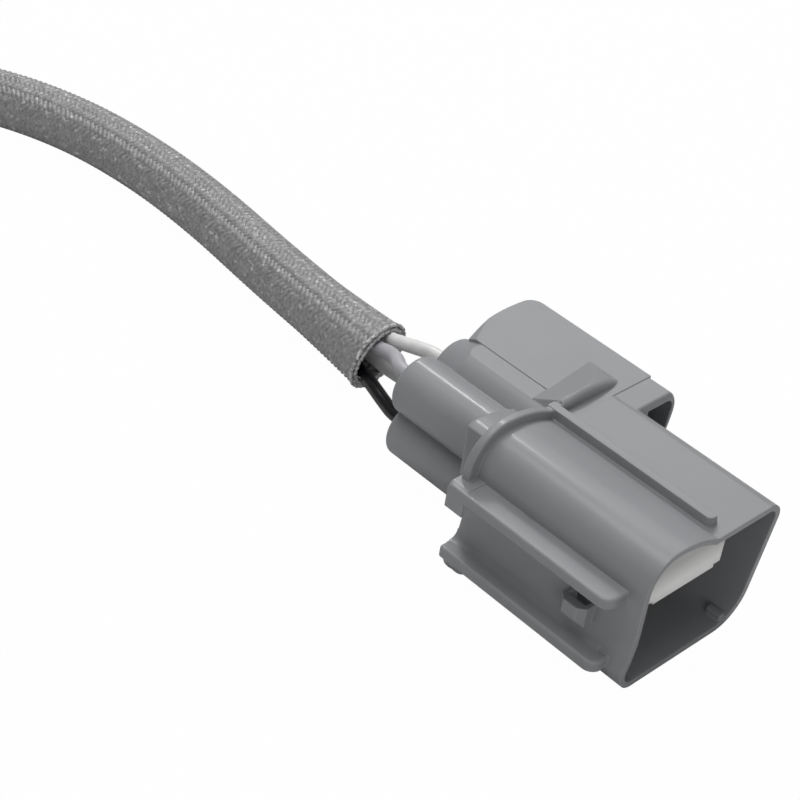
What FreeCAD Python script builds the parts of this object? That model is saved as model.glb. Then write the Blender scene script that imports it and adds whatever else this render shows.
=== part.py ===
import FreeCAD, Part
import math
import os

from FreeCAD import Vector

# A heated four-wire oxygen sensor with its lead and harness connector.
# Millimetres, Z up. The origin is the middle of the connector's flat base. X points out of the
# connector's mouth, and Y points to the side with the bracket slot.

os.makedirs("parts", exist_ok=True)

# Connector shroud, seen from its mouth
mouth_x = 15.0
shroud_wall = 0.8
left_face = 12.0
base_right = 4.7
base_sweep = 5.6
base_corner = 2.5
base_flare = 1.1
flare_top_z = 9.0
wall_lean_degrees = 12.7
flat_top = 17.6
top_corner = 2.3
dome_start_y = 0.3
dome_top_y = 7.2
dome_top_z = 19.5
lip_bevel = 0.3
root_overlap = 0.5
key_left_y = 5.9
key_width = 1.0
key_top_z = 1.8
key_length = 2.2

# Ridge along the top of the shroud
ridge_y = 0.7
ridge_flat = 1.2
ridge_top = 19.0
ridge_spread = 0.4
ridge_front_gap = 2.0
ridge_nose = 0.75

# Rails, foot and peg on the left face
rail_reach = 3.5
upper_rail_top = 14.0
upper_rail_thick = 1.4
lower_rail_top = 4.0
lower_rail_thick = 1.5
rail_front_gap = 2.5
rail_tip = 1.6
rail_tail = 0.5
rail_rear_x = -13.8
rail_cove = 1.2
foot_x = -11.5
foot_radius = 2.1
peg_middle_x = 6.5
peg_length = 4.0
peg_bottom = 6.1
peg_height = 2.9
peg_reach = 2.4
peg_bevel = 0.9
peg_wall = 0.6
peg_face_wall = 1.3
pocket_bottom = 6.8
pocket_top = 10.0

# Collar and stepped plate behind the shroud
collar_front_x = -12.5
collar_length = 1.2
collar_proud = 1.3
collar_shift = 0.35
block_front_x = -11.1
block_length = 2.9
block_height = 3.7
block_above_rail = 0.1
block_round = 1.0
gusset_reach = 3.2
gusset_length = 5.0
crest_length = 6.0
crest_flat_y = 4.0
crest_top_y = 8.6
crest_top_z = 19.15
crest_turn_y = 12.3
crest_turn_z = 18.4
crest_end = 1.0
crest_round = 0.9
crest_lean = 0.8
crest_foot_left = 4.2
crest_foot_right = 5.6
plate_length = 4.6
plate_inset = 1.9
plate_low_left = 6.5
plate_high_left = 8.8
plate_step_z = 9.5
bulkhead_thick = 1.6

# Wire towers and what they hold
tower_left_y = -3.3
tower_right_y = 3.5
tower_low_z = 5.2
tower_high_z = 12.2
tower_radius = 4.2
tower_rear_x = -32.6
tower_bore = 3.1
tower_lip = 0.5
pad_growth = 0.5
web_inset = 3.0
seal_length = 4.5
seal_recess = 0.7
seal_groove = 0.3
cavity_width = 2.5

# Side block with the bracket slot
side_block_rear_x = -32.8
side_block_front_x = -11.3
side_block_top = 17.6
side_block_left = 4.5
side_step_left = 1.6
side_step_drop = 0.12
side_step_run = 4.0
rear_slope_run = 4.3
rear_slope_y = 10.0
rear_slope_low_y = 5.0
rear_slope_fall = 1.3
rib_rear = 3.0
rib_offset = 1.5
rib_thick = 1.6
side_roof = 1.8
side_edge_y = 18.0
side_sweep = 26.0
side_corner = 2.0
slot_front_x = -7.4
slot_length = 18.6
slot_outer_y = 19.2
slot_bulge_z = 14.0
slot_top_drop = 0.1
slot_bottom_z = 6.0
slot_wall = 0.9
slot_roof = 1.2
slot_round = 0.4
slot_root = 2.2
slot_floor_inset = 2.4
slot_hollow = 0.8
slot_top_inset = 1.6
slot_crown_inset = 0.75
slot_crown_drop = 0.8

# Off-white retainer under the dome
retainer_recess = 0.7
retainer_front = 1.6
retainer_wall = 1.1
retainer_bottom = 12.4
retainer_right_y = 2.9
retainer_left_y = 10.4
retainer_step = 0.5
retainer_step_width = 1.15
retainer_gap = 0.12
retainer_clearance = 0.3

# Terminals
blade_tip_x = 1.0
blade_width = 2.2
blade_thick = 0.8
blade_chamfer = 0.35
crimp_wall = 0.3
crimp_overlap = 1.6

# Wires and braided sleeve
wire_diameter = 2.0
wire_spread = 1.4
wire_bend_x = -36.0
sleeve_diameter = 8.0
sleeve_bore = 6.6
flare_length = 6.5
flare_growth = 1.3

# Sensor body, measured along its axis from the wire end
sensor_rear_x = -102.0
sensor_y = -101.0
hex_flats = 22.0
rear_lip_length = 6.0
shell_wall = 0.5
skirt_radius = 7.3
skirt_length = 9.0
shell_taper = 1.5
shell_groove = 0.4
groove_places = (2.6, 5.4)
groove_width = 1.2
grommet_length = 7.5
wire_end = 9.0
contact_barrel = 3.4
contact_wall = 0.25
contact_width = 1.2
contact_thick = 0.3
contact_overlap = 3.0
heater_contact_gap = 1.0
bushing_start = 13.0
bushing_length = 15.0
bushing_clearance = 0.5
bushing_wall = 1.5
bushing_gap = 0.2
hex_start = 40.0
hex_length = 9.0
hex_bevel = 0.9
flange_length = 2.0
neck_length = 5.5
gasket_thick = 2.2
gasket_width = 1.8
gasket_clearance = 0.1
gasket_relief = 8.3
thread_diameter = 18.0
thread_length = 9.0
thread_chamfer = 1.0
thread_relief = 0.8
seal_chamber_radius = 5.5
seal_chamber_end = 48.5
nose_bore = 4.2
washer_thick = 0.6
washer_clearance = 0.9
collar_land = 4.0
talc_length = 4.5
support_length = 3.0
element_rear = 30.0
element_tip_gap = 1.0
element_radius = 3.2
element_bore = 2.0
element_nose_radius = 3.0
element_nose_length = 2.2
element_crown = 2.4
element_bore_round = 0.8
element_land_step = 1.0
heater_radius = 1.5
heater_start = 15.5
heater_tip_gap = 0.4
heater_tip_length = 0.8
spigot_length = 3.0
spigot_radius = 5.3
inner_tube_length = 24.0
inner_tube_overlap = 8.0
inner_tube_wall = 0.3
outer_tube_gap = 2.0
outer_tube_wall = 0.4
tube_hole_radius = 0.9
inner_hole_radius = 0.7
tube_holes_around = 6
hole_inset = 4.0
spigot_hole_inset = 2.0

# Middle line of the braided sleeve, from its cut end by the connector to the sensor's rear lip
sleeve_route = [
    Vector(-44.2, 2.0, 7.0),
    Vector(-57.0, 3.6, 6.0),
    Vector(-72.0, 5.7, 4.9),
    Vector(-88.0, 7.8, 4.2),
    Vector(-104.0, 8.1, 4.1),
    Vector(-120.0, 5.9, 4.1),
    Vector(-135.0, 0.2, 4.1),
    Vector(-149.5, -10.5, 4.1),
    Vector(-159.0, -27.0, 4.1),
    Vector(-163.0, -46.0, 4.1),
    Vector(-160.0, -65.0, 4.3),
    Vector(-151.0, -82.0, 5.6),
    Vector(-136.5, -94.5, 8.4),
    Vector(-119.0, sensor_y, hex_flats / 2),
    Vector(sensor_rear_x, sensor_y, hex_flats / 2),
]

along_x = Vector(1, 0, 0)
along_z = Vector(0, 0, 1)
wire_radius = wire_diameter / 2
collar_rear_x = collar_front_x - collar_length
plate_rear_x = collar_rear_x - plate_length
block_top = upper_rail_top + block_above_rail
step_top = side_block_top - side_step_drop


def save(shape, name):
    shape.exportStep("parts/" + name + ".step")
    print(name, "volume", round(shape.Volume, 2), "solids", len(shape.Solids), "valid", shape.isValid())


def box(x0, x1, y0, y1, z0, z1):
    return Part.makeBox(x1 - x0, y1 - y0, z1 - z0, Vector(x0, y0, z0))


def rod(x0, x1, y, z, radius):
    return Part.makeCylinder(radius, x1 - x0, Vector(x0, y, z), along_x)


def rod_up(x, y, z, height, radius):
    return Part.makeCylinder(radius, height, Vector(x, y, z), along_z)


def outline(points):
    """A closed wire in the plane x = 0. A pair of points is an arc: its middle and its end."""
    edges = []
    first = start = Vector(0, *points[0])
    for step in points[1:]:
        if isinstance(step[0], tuple):
            middle, end = Vector(0, *step[0]), Vector(0, *step[1])
            edges.append(Part.Arc(start, middle, end).toShape())
        else:
            end = Vector(0, *step)
            edges.append(Part.LineSegment(start, end).toShape())
        start = end
    if start.distanceToPoint(first) > 0.001:
        edges.append(Part.LineSegment(start, first).toShape())
    return Part.Wire(edges)


def prism(wire, x0, x1):
    face = Part.Face(wire)
    face.translate(Vector(x0, 0, 0))
    return face.extrude(Vector(x1 - x0, 0, 0))


def above(a, b, c):
    """The space above the plane through three points."""
    middle = (a + b + c) * (1 / 3)
    corners = [middle + (point - middle) * 10 for point in (a, b, c)]
    return Part.Face(Part.makePolygon(corners + corners[:1])).extrude(along_z * 40)


def round_edges(solid, radius, wanted):
    edges = [edge for edge in solid.Edges if wanted(edge.BoundBox)]
    return solid.makeFillet(radius, edges)


def corner(centre_y, centre_z, radius, degrees):
    angle = math.radians(degrees)
    return (centre_y + radius * math.cos(angle), centre_z + radius * math.sin(angle))


# Shroud: one outline that the wall, collar, plate and retainer all follow
wall_lean = math.radians(wall_lean_degrees)
foot_y, foot_z = corner(base_right, base_sweep, base_sweep, -wall_lean_degrees)
wall_run = (flat_top - top_corner * (1 + math.sin(wall_lean)) - foot_z) / math.cos(wall_lean)
top_centre_y = foot_y + wall_run * math.sin(wall_lean) - top_corner * math.cos(wall_lean)
top_centre_z = flat_top - top_corner
shoulder_y = top_centre_y + top_corner
flank_turn = 2 * math.atan(base_flare / (flare_top_z - base_corner))
flank_span = (flare_top_z - base_corner) / math.sin(flank_turn)
flank_radius = flank_span - base_corner
flank_centre_y = -left_face - flank_radius
flank_degrees = -math.degrees(flank_turn)
base_centre_y = flank_centre_y + flank_span * math.cos(flank_turn)
dome_radius = left_face - dome_top_y
dome_side_z = dome_top_z - dome_radius
dome_fall = dome_top_z - flat_top
dome_run = dome_top_y + dome_start_y
dome_sweep = (dome_run ** 2 + dome_fall ** 2) / (2 * dome_fall)
dome_half_turn = math.degrees(math.asin(dome_run / dome_sweep)) / 2
shroud_outline = outline([
    (base_centre_y, 0),
    (base_right, 0),
    (corner(base_right, base_sweep, base_sweep, -45 - wall_lean_degrees / 2), (foot_y, foot_z)),
    corner(top_centre_y, top_centre_z, top_corner, -wall_lean_degrees),
    (corner(top_centre_y, top_centre_z, top_corner, 40), (top_centre_y, flat_top)),
    (dome_start_y, flat_top),
    (corner(-dome_top_y, dome_top_z - dome_sweep, dome_sweep, 90 - dome_half_turn),
     (-dome_top_y, dome_top_z)),
    (corner(-dome_top_y, dome_side_z, dome_radius, 135), (-left_face, dome_side_z)),
    (-left_face, flare_top_z),
    (corner(flank_centre_y, flare_top_z, flank_radius, flank_degrees / 2),
     corner(flank_centre_y, flare_top_z, flank_radius, flank_degrees)),
    (corner(base_centre_y, base_corner, base_corner, 225 + flank_degrees / 2), (base_centre_y, 0)),
])
inner_outline = shroud_outline.makeOffset2D(-shroud_wall)


def shroud():
    body = prism(shroud_outline, collar_front_x - root_overlap, mouth_x)
    hollow = prism(inner_outline, collar_front_x + bulkhead_thick, mouth_x + 1)
    front_x = mouth_x - lip_bevel
    key = box(front_x - key_length, front_x, key_left_y, key_left_y + key_width, shroud_wall / 2, key_top_z)
    return body.cut(hollow).fuse(key)


def flank_y(z):
    """Where the left face's hollow sweep stands at a height."""
    return flank_centre_y + math.sqrt(flank_radius ** 2 - (flare_top_z - z) ** 2)


def ridge():
    side = ridge_y + ridge_flat
    root = flat_top - shroud_wall / 2
    front_x = mouth_x - ridge_front_gap
    wire = outline([(ridge_y, root), (ridge_y, ridge_top), (side, ridge_top),
                    (side + ridge_spread, flat_top), (side + ridge_spread, root)])
    body = prism(wire, collar_rear_x, front_x)
    return round_edges(body, ridge_nose, lambda b: b.XMin > front_x - 0.01 and b.YMax < ridge_y + 0.01)


def rail(top, thick):
    x0 = rail_rear_x
    x1 = mouth_x - rail_front_gap
    outer = -left_face - rail_reach
    plate = box(x0, x1, outer, -left_face + shroud_wall / 2, top - thick, top)
    plate = round_edges(plate, rail_tip, lambda b: b.XMin > x1 - 0.01 and b.YMax < outer + 0.01)
    plate = round_edges(plate, rail_tail, lambda b: b.XMax < x0 + 0.01 and b.YMax < outer + 0.01)
    return round_edges(plate, 0.25 * thick, lambda b: b.ZMin > top - 0.01 and b.YMax < -left_face)


def cove():
    """The hollow corner where the lower rail's top meets the left face."""
    x0 = rail_rear_x
    x1 = mouth_x - rail_front_gap - rail_tip
    middle_z = lower_rail_top + rail_cove
    wall_y = flank_y(middle_z)
    middle_y = wall_y - rail_cove
    body = box(x0, x1, middle_y, wall_y + shroud_wall / 2, lower_rail_top - lower_rail_thick / 2, middle_z)
    return body.cut(rod(x0 - 1, x1 + 1, middle_y, middle_z, rail_cove))


def foot():
    start = Vector(foot_x, -left_face - base_flare - collar_proud, lower_rail_top - rail_cove)
    disc = Part.makeCylinder(foot_radius, rail_reach, start, Vector(0, 1, 0))
    upper_part = box(foot_x - foot_radius, foot_x + foot_radius, -2 * left_face, 0,
                     lower_rail_top - lower_rail_thick / 2, upper_rail_top)
    return disc.cut(upper_part)


def peg():
    x0 = peg_middle_x - peg_length / 2
    top = peg_bottom + peg_height
    body = box(x0, x0 + peg_length, -left_face - peg_reach, -left_face + shroud_wall / 2, peg_bottom, top)
    outer = -left_face - peg_reach + 0.01
    return body.makeChamfer(peg_bevel, [e for e in body.Edges if e.BoundBox.YMax < outer
                                        and e.BoundBox.ZMin < top - 0.01])


def peg_pocket():
    reach = peg_length / 2 - peg_wall
    y0 = -left_face - peg_reach + peg_face_wall
    y1 = -left_face + shroud_wall + 0.1
    return box(peg_middle_x - reach, peg_middle_x + reach, y0, y1, pocket_bottom, pocket_top)


def gusset():
    """The ramp under the upper rail that runs from the rail's block to the left face."""
    front = block_front_x + gusset_length
    side = -left_face - gusset_reach
    root = -left_face + shroud_wall / 2
    bottom = block_top - block_height
    top = upper_rail_top - upper_rail_thick / 2
    corners = [Vector(block_front_x, root, bottom), Vector(block_front_x, side, bottom),
               Vector(front, -left_face, bottom), Vector(front, root, bottom)]
    ramp = Part.Face(Part.makePolygon(corners + corners[:1])).extrude(along_z * (top - bottom))
    return ramp.common(above(Vector(block_front_x, side, bottom), Vector(block_front_x, root, bottom),
                             Vector(front, root, top)))


def block():
    """The thick rear end of the upper rail."""
    outer = -left_face - rail_reach
    body = box(block_front_x - block_length, block_front_x, outer, 0, block_top - block_height, block_top)
    return round_edges(body, block_round, lambda b: b.YMax < outer + 0.01 and b.ZMin > block_top - 0.01)


def collar():
    wide = shroud_outline.makeOffset2D(collar_proud)
    wide.translate(Vector(0, -collar_shift, 0))
    body = prism(wide, collar_rear_x, collar_front_x)
    body = round_edges(body, lip_bevel, lambda b: b.XMax - b.XMin < 0.01)
    below = box(collar_rear_x - 1, mouth_x, -2 * left_face, 2 * left_face, -2 * collar_proud, 0)
    gap = box(collar_rear_x - 1, mouth_x, -2 * left_face, -left_face, lower_rail_top, block_top - 1)
    ridge_right = ridge_y + ridge_flat + ridge_spread
    edge = box(collar_front_x - crest_round, mouth_x, ridge_right, shoulder_y, flat_top, 2 * flat_top)
    return body.cut([below, gap, edge])


def crest():
    """The collar's arched right part, which slopes down to the side block behind it."""
    front = collar_front_x
    left = side_step_left
    root = flat_top - shroud_wall
    end_y = shoulder_y + crest_end
    arch = ((crest_top_y, crest_top_z), (crest_turn_y, crest_turn_z))
    wire = outline([(left, root), (left, ridge_top), (crest_flat_y, ridge_top), arch,
                    (end_y, flat_top), (end_y, root)])
    body = prism(wire, front - crest_length, front)
    body = round_edges(body, crest_round, lambda b: b.XMin > front - 0.01 and b.ZMin > flat_top - 0.01)
    slope = above(Vector(front - crest_foot_left, left, side_block_top),
                  Vector(front - crest_foot_right, end_y, side_block_top),
                  Vector(collar_rear_x, crest_top_y, crest_top_z))
    edge = Vector(collar_rear_x, left, step_top)
    left_side = above(edge, edge + along_x, edge + Vector(0, crest_lean, 1))
    return body.cut([slope, left_side])


def towers():
    body = None
    for y in (tower_left_y, tower_right_y):
        for z in (tower_low_z, tower_high_z):
            tower = rod(tower_rear_x, collar_rear_x, y, z, tower_radius)
            tower = round_edges(tower, tower_lip, lambda b: b.XMax < tower_rear_x + 0.01)
            pad = rod(plate_rear_x, collar_rear_x, y, z, tower_radius + pad_growth)
            pad = round_edges(pad, tower_lip, lambda b: b.XMax < plate_rear_x + 0.01)
            body = tower.fuse(pad) if body is None else body.fuse([tower, pad])
    web_rear = tower_rear_x + web_inset
    web = box(web_rear, collar_rear_x, tower_left_y, tower_right_y, tower_low_z, tower_high_z)
    return body.fuse(web)


def plate():
    wire = shroud_outline.makeOffset2D(-plate_inset)
    body = prism(wire, plate_rear_x, collar_rear_x)
    low = box(plate_rear_x - 1, collar_rear_x, -left_face, -plate_low_left, 0, plate_step_z)
    high = box(plate_rear_x - 1, collar_rear_x, -left_face, -plate_high_left, plate_step_z, dome_top_z)
    body = body.cut([low, high])
    body = round_edges(body, 2 * lip_bevel, lambda b: b.XMax < plate_rear_x + 0.01)
    return body.fuse(prism(shroud_outline, collar_rear_x, collar_front_x))


def rear_slope():
    """The space above the plane in which the side block's top falls to the upper right tower."""
    rear = side_block_rear_x
    return above(Vector(rear + rear_slope_run, side_step_left, side_block_top),
                 Vector(rear, rear_slope_y, side_block_top),
                 Vector(rear, rear_slope_low_y, side_block_top - rear_slope_fall))


def step():
    """The upper right tower's thicker top, which is flat beside the side block's roof."""
    rear = tower_rear_x + tower_lip
    full = rear + side_step_run
    radius = math.hypot(side_step_left - tower_right_y, step_top - tower_high_z)
    start = Vector(rear, tower_right_y, tower_high_z)
    taper = Part.makeCone(tower_radius, radius, side_step_run, start, along_x)
    body = taper.fuse(rod(full, collar_rear_x, tower_right_y, tower_high_z, radius))
    room = box(rear, collar_rear_x, -left_face, side_block_left + side_corner, tower_high_z, step_top)
    return body.common(room)


def side_block():
    rear = side_block_rear_x
    front = side_block_front_x
    low = side_block_top - side_roof
    plan = box(rear, front, side_block_left, side_edge_y, low, side_block_top)
    sweep = rod_up(rear + side_sweep, 0.75 * side_edge_y, low, side_roof, side_sweep)
    roof = plan.common(sweep)
    roof = round_edges(roof, side_corner, lambda b: b.ZMax - b.ZMin > 1 and b.YMin > side_edge_y - 0.01
                       and b.XMax < rear + side_corner)
    rib_y = tower_right_y + rib_offset
    rib_top = side_block_top - 0.5 * side_roof
    foot_top = slot_bottom_z + slot_wall
    rib = box(rear + rib_rear, front, rib_y, rib_y + rib_thick, tower_low_z, rib_top)
    foot = box(rear + rib_rear, front, rib_y, shoulder_y - rib_thick, slot_bottom_z, foot_top)
    return roof.cut(rear_slope()).fuse([step(), rib, foot])


def slot_section(wall, roof):
    """The slot's outline, moved inwards by the thickness of its wall and roof."""
    top = side_block_top - slot_top_drop - roof
    outer = slot_outer_y - wall
    bottom = slot_bottom_z + wall
    inner = shoulder_y - slot_root
    middle_z = 0.5 * (slot_bottom_z + slot_bulge_z)
    return outline([
        (inner, bottom),
        (outer - slot_floor_inset, bottom),
        ((outer - slot_hollow, middle_z), (outer, slot_bulge_z)),
        ((slot_outer_y - slot_crown_inset - 0.4 * wall, top - slot_crown_drop + 0.3 * wall),
         (slot_outer_y - slot_top_inset - 0.2 * wall, top)),
        (inner, top),
    ])


def bracket_slot():
    """The open-ended channel that slides over a flat bracket."""
    shell = prism(slot_section(0, 0), slot_front_x - slot_length, slot_front_x)
    return round_edges(shell, slot_round, lambda b: b.XMin > slot_front_x - 0.01 and b.YMax > shoulder_y)


def slot_space():
    rear = slot_front_x - slot_length
    room = prism(slot_section(slot_wall, slot_roof), rear - 0.1, slot_front_x + 0.1)
    keep = prism(shroud_outline.makeOffset2D(slot_wall), rear - 1, slot_front_x + 1)
    return room.cut(keep)


def cavities():
    """Bores for the wire seals, and the square ways that the terminals run through."""
    tools = []
    seal_front = tower_rear_x + seal_recess + seal_length + seal_recess
    half = cavity_width / 2
    for y in (tower_left_y, tower_right_y):
        for z in (tower_low_z, tower_high_z):
            tools.append(rod(tower_rear_x - 1, seal_front, y, z, tower_bore))
            tools.append(box(seal_front - 0.1, collar_front_x + bulkhead_thick + 0.1,
                             y - half, y + half, z - half, z + half))
    return tools


rails = [rail(upper_rail_top, upper_rail_thick), rail(lower_rail_top, lower_rail_thick)]
housing = shroud().fuse(rails + [cove(), foot(), ridge(), peg(), block(), gusset(), collar(), crest(),
                                 towers(), plate(), side_block(), bracket_slot()])
housing = housing.cut(cavities() + [slot_space(), peg_pocket()])
housing = housing.removeSplitter()
save(housing, "connector_housing")


# Retainer: a plate that closes the dome at the mouth, with an arch that runs back to the bulkhead
retainer_outline = shroud_outline.makeOffset2D(-shroud_wall - retainer_gap)
arch_outline = shroud_outline.makeOffset2D(-shroud_wall - retainer_gap - retainer_wall)


def retainer():
    rear = collar_front_x + bulkhead_thick
    front = mouth_x - retainer_recess
    under_dome = box(rear, front, -left_face, retainer_right_y, retainer_bottom, dome_top_z + 1)
    steps_left = -retainer_left_y + retainer_step_width
    steps_right = retainer_right_y - retainer_step_width
    steps = box(rear, front, steps_left, steps_right, retainer_bottom - retainer_step, retainer_bottom + 1)
    solid = prism(retainer_outline, rear, front).common(under_dome.fuse(steps))
    hollow = prism(arch_outline, rear - 1, front - retainer_front)
    roof = dome_top_z + 1
    way = box(rear - 1, front - retainer_front, -left_face, retainer_right_y - retainer_wall, 0, roof)
    above_blades = tower_high_z + blade_thick / 2 + retainer_clearance
    clear_of_blades = box(rear - 1, blade_tip_x + 1, -left_face, left_face, 0, above_blades)
    solid = solid.cut([hollow.common(way), clear_of_blades])
    flat_bottom = flat_top - shroud_wall - retainer_gap
    return solid.cut(box(rear - 1, front + 1, dome_start_y, left_face, flat_bottom, roof))


save(retainer(), "terminal_retainer")


# Terminals, seals and the four wires that share the towers
tower_places = {
    "upper_left": (tower_left_y, tower_high_z, -1, 1),
    "upper_right": (tower_right_y, tower_high_z, 1, 1),
    "lower_left": (tower_left_y, tower_low_z, -1, -1),
    "lower_right": (tower_right_y, tower_low_z, 1, -1),
}
wire_names = {
    "upper_left": "ground_wire",
    "upper_right": "heater_wire_1",
    "lower_left": "signal_wire",
    "lower_right": "heater_wire_2",
}
seal_rear_x = tower_rear_x + seal_recess
seal_front_x = seal_rear_x + seal_length
crimp_rear_x = seal_front_x + seal_recess
wire_tip_x = crimp_rear_x + crimp_overlap


def terminal(y, z):
    half_thick = blade_thick / 2
    half_width = blade_width / 2
    barrel = rod(crimp_rear_x, wire_tip_x + 0.4, y, z, wire_radius + crimp_wall - 0.05)
    barrel = barrel.cut(rod(crimp_rear_x - 1, wire_tip_x, y, z, wire_radius))
    body_half = cavity_width / 2 - 0.1
    body = box(wire_tip_x + 0.4, collar_front_x, y - body_half, y + body_half, z - body_half, z + 0.3)
    blade = box(collar_front_x, blade_tip_x, y - half_width, y + half_width, z - half_thick, z + half_thick)
    blade = blade.makeChamfer(blade_chamfer, [e for e in blade.Edges
                                                   if e.BoundBox.XMin > blade_tip_x - 0.01
                                                   and e.BoundBox.YMax - e.BoundBox.YMin > 1])
    return barrel.fuse([body, blade])


def wire_seal(y, z):
    seal = rod(seal_rear_x, seal_front_x, y, z, tower_bore)
    lobes = 3
    pitch = seal_length / lobes
    for index in range(lobes - 1):
        middle = seal_rear_x + (index + 1) * pitch
        ring = rod(middle - 0.25 * pitch, middle + 0.25 * pitch, y, z, tower_bore + 1)
        core = rod(middle - 0.25 * pitch, middle + 0.25 * pitch, y, z, tower_bore - seal_groove)
        seal = seal.cut(ring.cut(core))
    return seal.cut(rod(seal_rear_x - 1, seal_front_x + 1, y, z, wire_radius))


for index, (y, z, side, level) in enumerate(tower_places.values(), 1):
    save(terminal(y, z), "terminal_%d" % index)
    save(wire_seal(y, z), "wire_seal_%d" % index)


def cord_path(points, name):
    """Straight runs joined by tangent arcs, each arc as large as its two runs allow."""
    edges = []
    radii = []
    start = points[0]
    for before, here, after in zip(points, points[1:], points[2:]):
        came = here - before
        goes = after - here
        shorter = min(came.Length, goes.Length)
        half_turn = came.getAngle(goes) / 2
        cut = 0.45 * shorter
        radius = cut / math.tan(half_turn)
        came.normalize()
        goes.normalize()
        bend_start = here - came * cut
        bend_end = here + goes * cut
        inward = (goes - came).normalize()
        middle = here + inward * (radius / math.cos(half_turn) - radius)
        edges.append(Part.LineSegment(start, bend_start).toShape())
        edges.append(Part.Arc(bend_start, middle, bend_end).toShape())
        radii.append(radius)
        start = bend_end
    edges.append(Part.LineSegment(start, points[-1]).toShape())
    path = Part.Wire(edges)
    print(name, "length", round(path.Length, 1), "radii", [round(value, 1) for value in radii])
    return path


def tube(points, radius, name):
    path = cord_path(points, name)
    direction = points[1] - points[0]
    section = Part.Wire([Part.Circle(points[0], direction, radius).toShape()])
    body = path.makePipeShell([section], True, False)
    full = math.pi * radius ** 2 * path.Length
    print(name, "volume over section times length", round(body.Volume / full, 4))
    return body


def beside(route, side, level):
    """The sleeve's route moved sideways and up by the wire's own place in the bundle."""
    moved = []
    for index, here in enumerate(route):
        came = here - route[max(index - 1, 0)] if index else route[1] - here
        goes = route[index + 1] - here if index + 1 < len(route) else came
        came_normal = Vector(-came.y, came.x, 0).normalize()
        goes_normal = Vector(-goes.y, goes.x, 0).normalize()
        mitre = (came_normal + goes_normal).normalize()
        reach = wire_spread / mitre.dot(came_normal)
        moved.append(here - mitre * (side * reach) + along_z * (level * wire_spread))
    return moved


sensor_z = hex_flats / 2
for place, (y, z, side, level) in tower_places.items():
    route = beside(sleeve_route, side, level)
    route[-1] = Vector(sensor_rear_x + wire_end, route[-1].y, route[-1].z)
    route = [Vector(wire_tip_x, y, z), Vector(wire_bend_x, y, z)] + route
    name = wire_names[place]
    save(tube(route, wire_radius, name), name)

# Braided sleeve: a hollow tube that flares at its cut end
sleeve_radius = sleeve_diameter / 2
bore_radius = sleeve_bore / 2
sleeve_axis = sleeve_route[1] - sleeve_route[0]
sleeve_axis.normalize()
sleeve_outer = tube(sleeve_route, sleeve_radius, "braided_sleeve")
sleeve_inner = tube(sleeve_route, bore_radius, "sleeve bore")
cut_end = sleeve_route[0]
flare = Part.makeCone(sleeve_radius + flare_growth, sleeve_radius, flare_length, cut_end, sleeve_axis)
flare_bore = Part.makeCone(bore_radius + flare_growth, bore_radius, flare_length, cut_end, sleeve_axis)
save(sleeve_outer.fuse(flare).cut([sleeve_inner, flare_bore]), "braided_sleeve")


def turned(points):
    """A solid turned about the sensor's axis. Points are (distance from the wire end, radius)."""
    corners = [Vector(sensor_rear_x + along, sensor_y, sensor_z + radius) for along, radius in points]
    face = Part.Face(Part.makePolygon(corners + [corners[0]]))
    return face.revolve(Vector(0, sensor_y, sensor_z), along_x, 360)


def ring(start, end, inner, outer):
    return turned([(start, inner), (end, inner), (end, outer), (start, outer)])


def sensor_rod(start, end, y, z, radius):
    return rod(sensor_rear_x + start, sensor_rear_x + end, sensor_y + y, sensor_z + z, radius)


bundle = [(side * wire_spread, level * wire_spread) for _, _, side, level in tower_places.values()]

# Rear shell: drawn steel tube, its lip closed on the sleeve and its skirt on the hexagon's neck
skirt_start = hex_start - skirt_length
lip_inner = sleeve_radius + 0.05
lip_outer = lip_inner + shell_wall
bushing_inner = element_radius + contact_thick + bushing_clearance
bushing_outer = bushing_inner + bushing_wall
shell_inner = bushing_outer + bushing_gap
shell_radius = shell_inner + shell_wall
skirt_inner = skirt_radius - shell_wall


def grooved(radius, depth):
    points = []
    for place in groove_places:
        points.append((place - groove_width / 2, radius))
        points.append((place - groove_width / 5, radius - depth))
        points.append((place + groove_width / 5, radius - depth))
        points.append((place + groove_width / 2, radius))
    return points


rear_shell = turned(
    [(-rear_lip_length, lip_inner), (-rear_lip_length, lip_outer), (-1.0, lip_outer),
     (-0.3, shell_radius - 0.5), (0.4, shell_radius)]
    + grooved(shell_radius, shell_groove)
    + [(skirt_start - shell_taper, shell_radius), (skirt_start, skirt_radius), (hex_start, skirt_radius),
       (hex_start, skirt_inner), (skirt_start + 0.3, skirt_inner),
       (skirt_start + 0.3 - shell_taper, shell_inner)]
    + grooved(shell_inner, shell_groove)[::-1]
    + [(0.0, shell_inner), (0.0, lip_inner)]
)
save(rear_shell, "rear_shell")

grommet = turned([(0.0, 0.0), (0.0, shell_inner)] + grooved(shell_inner, shell_groove)
                 + [(grommet_length, shell_inner), (grommet_length, 0.0)])
for y, z in bundle:
    grommet = grommet.cut(sensor_rod(-1, grommet_length + 1, y, z, wire_radius))
save(grommet, "wire_grommet")

# Contacts: a barrel crimped on each wire, and a flat spring that reaches the heater or the element
bundle_radius = wire_spread * math.sqrt(2)
bore_chord = math.sqrt(element_bore ** 2 - (contact_width / 2) ** 2)
heater_contact_end = element_rear - heater_contact_gap
element_contact_end = element_rear + contact_overlap
spring_reach = {
    "heater_contact_1": (0, heater_radius, heater_contact_end),
    "heater_contact_2": (3, heater_radius, heater_contact_end),
    "signal_contact": (2, bore_chord - contact_thick, element_contact_end),
    "ground_contact": (1, element_radius, element_contact_end),
}
barrel_end = wire_end + contact_barrel
barrel_start = grommet_length + 0.3


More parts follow.
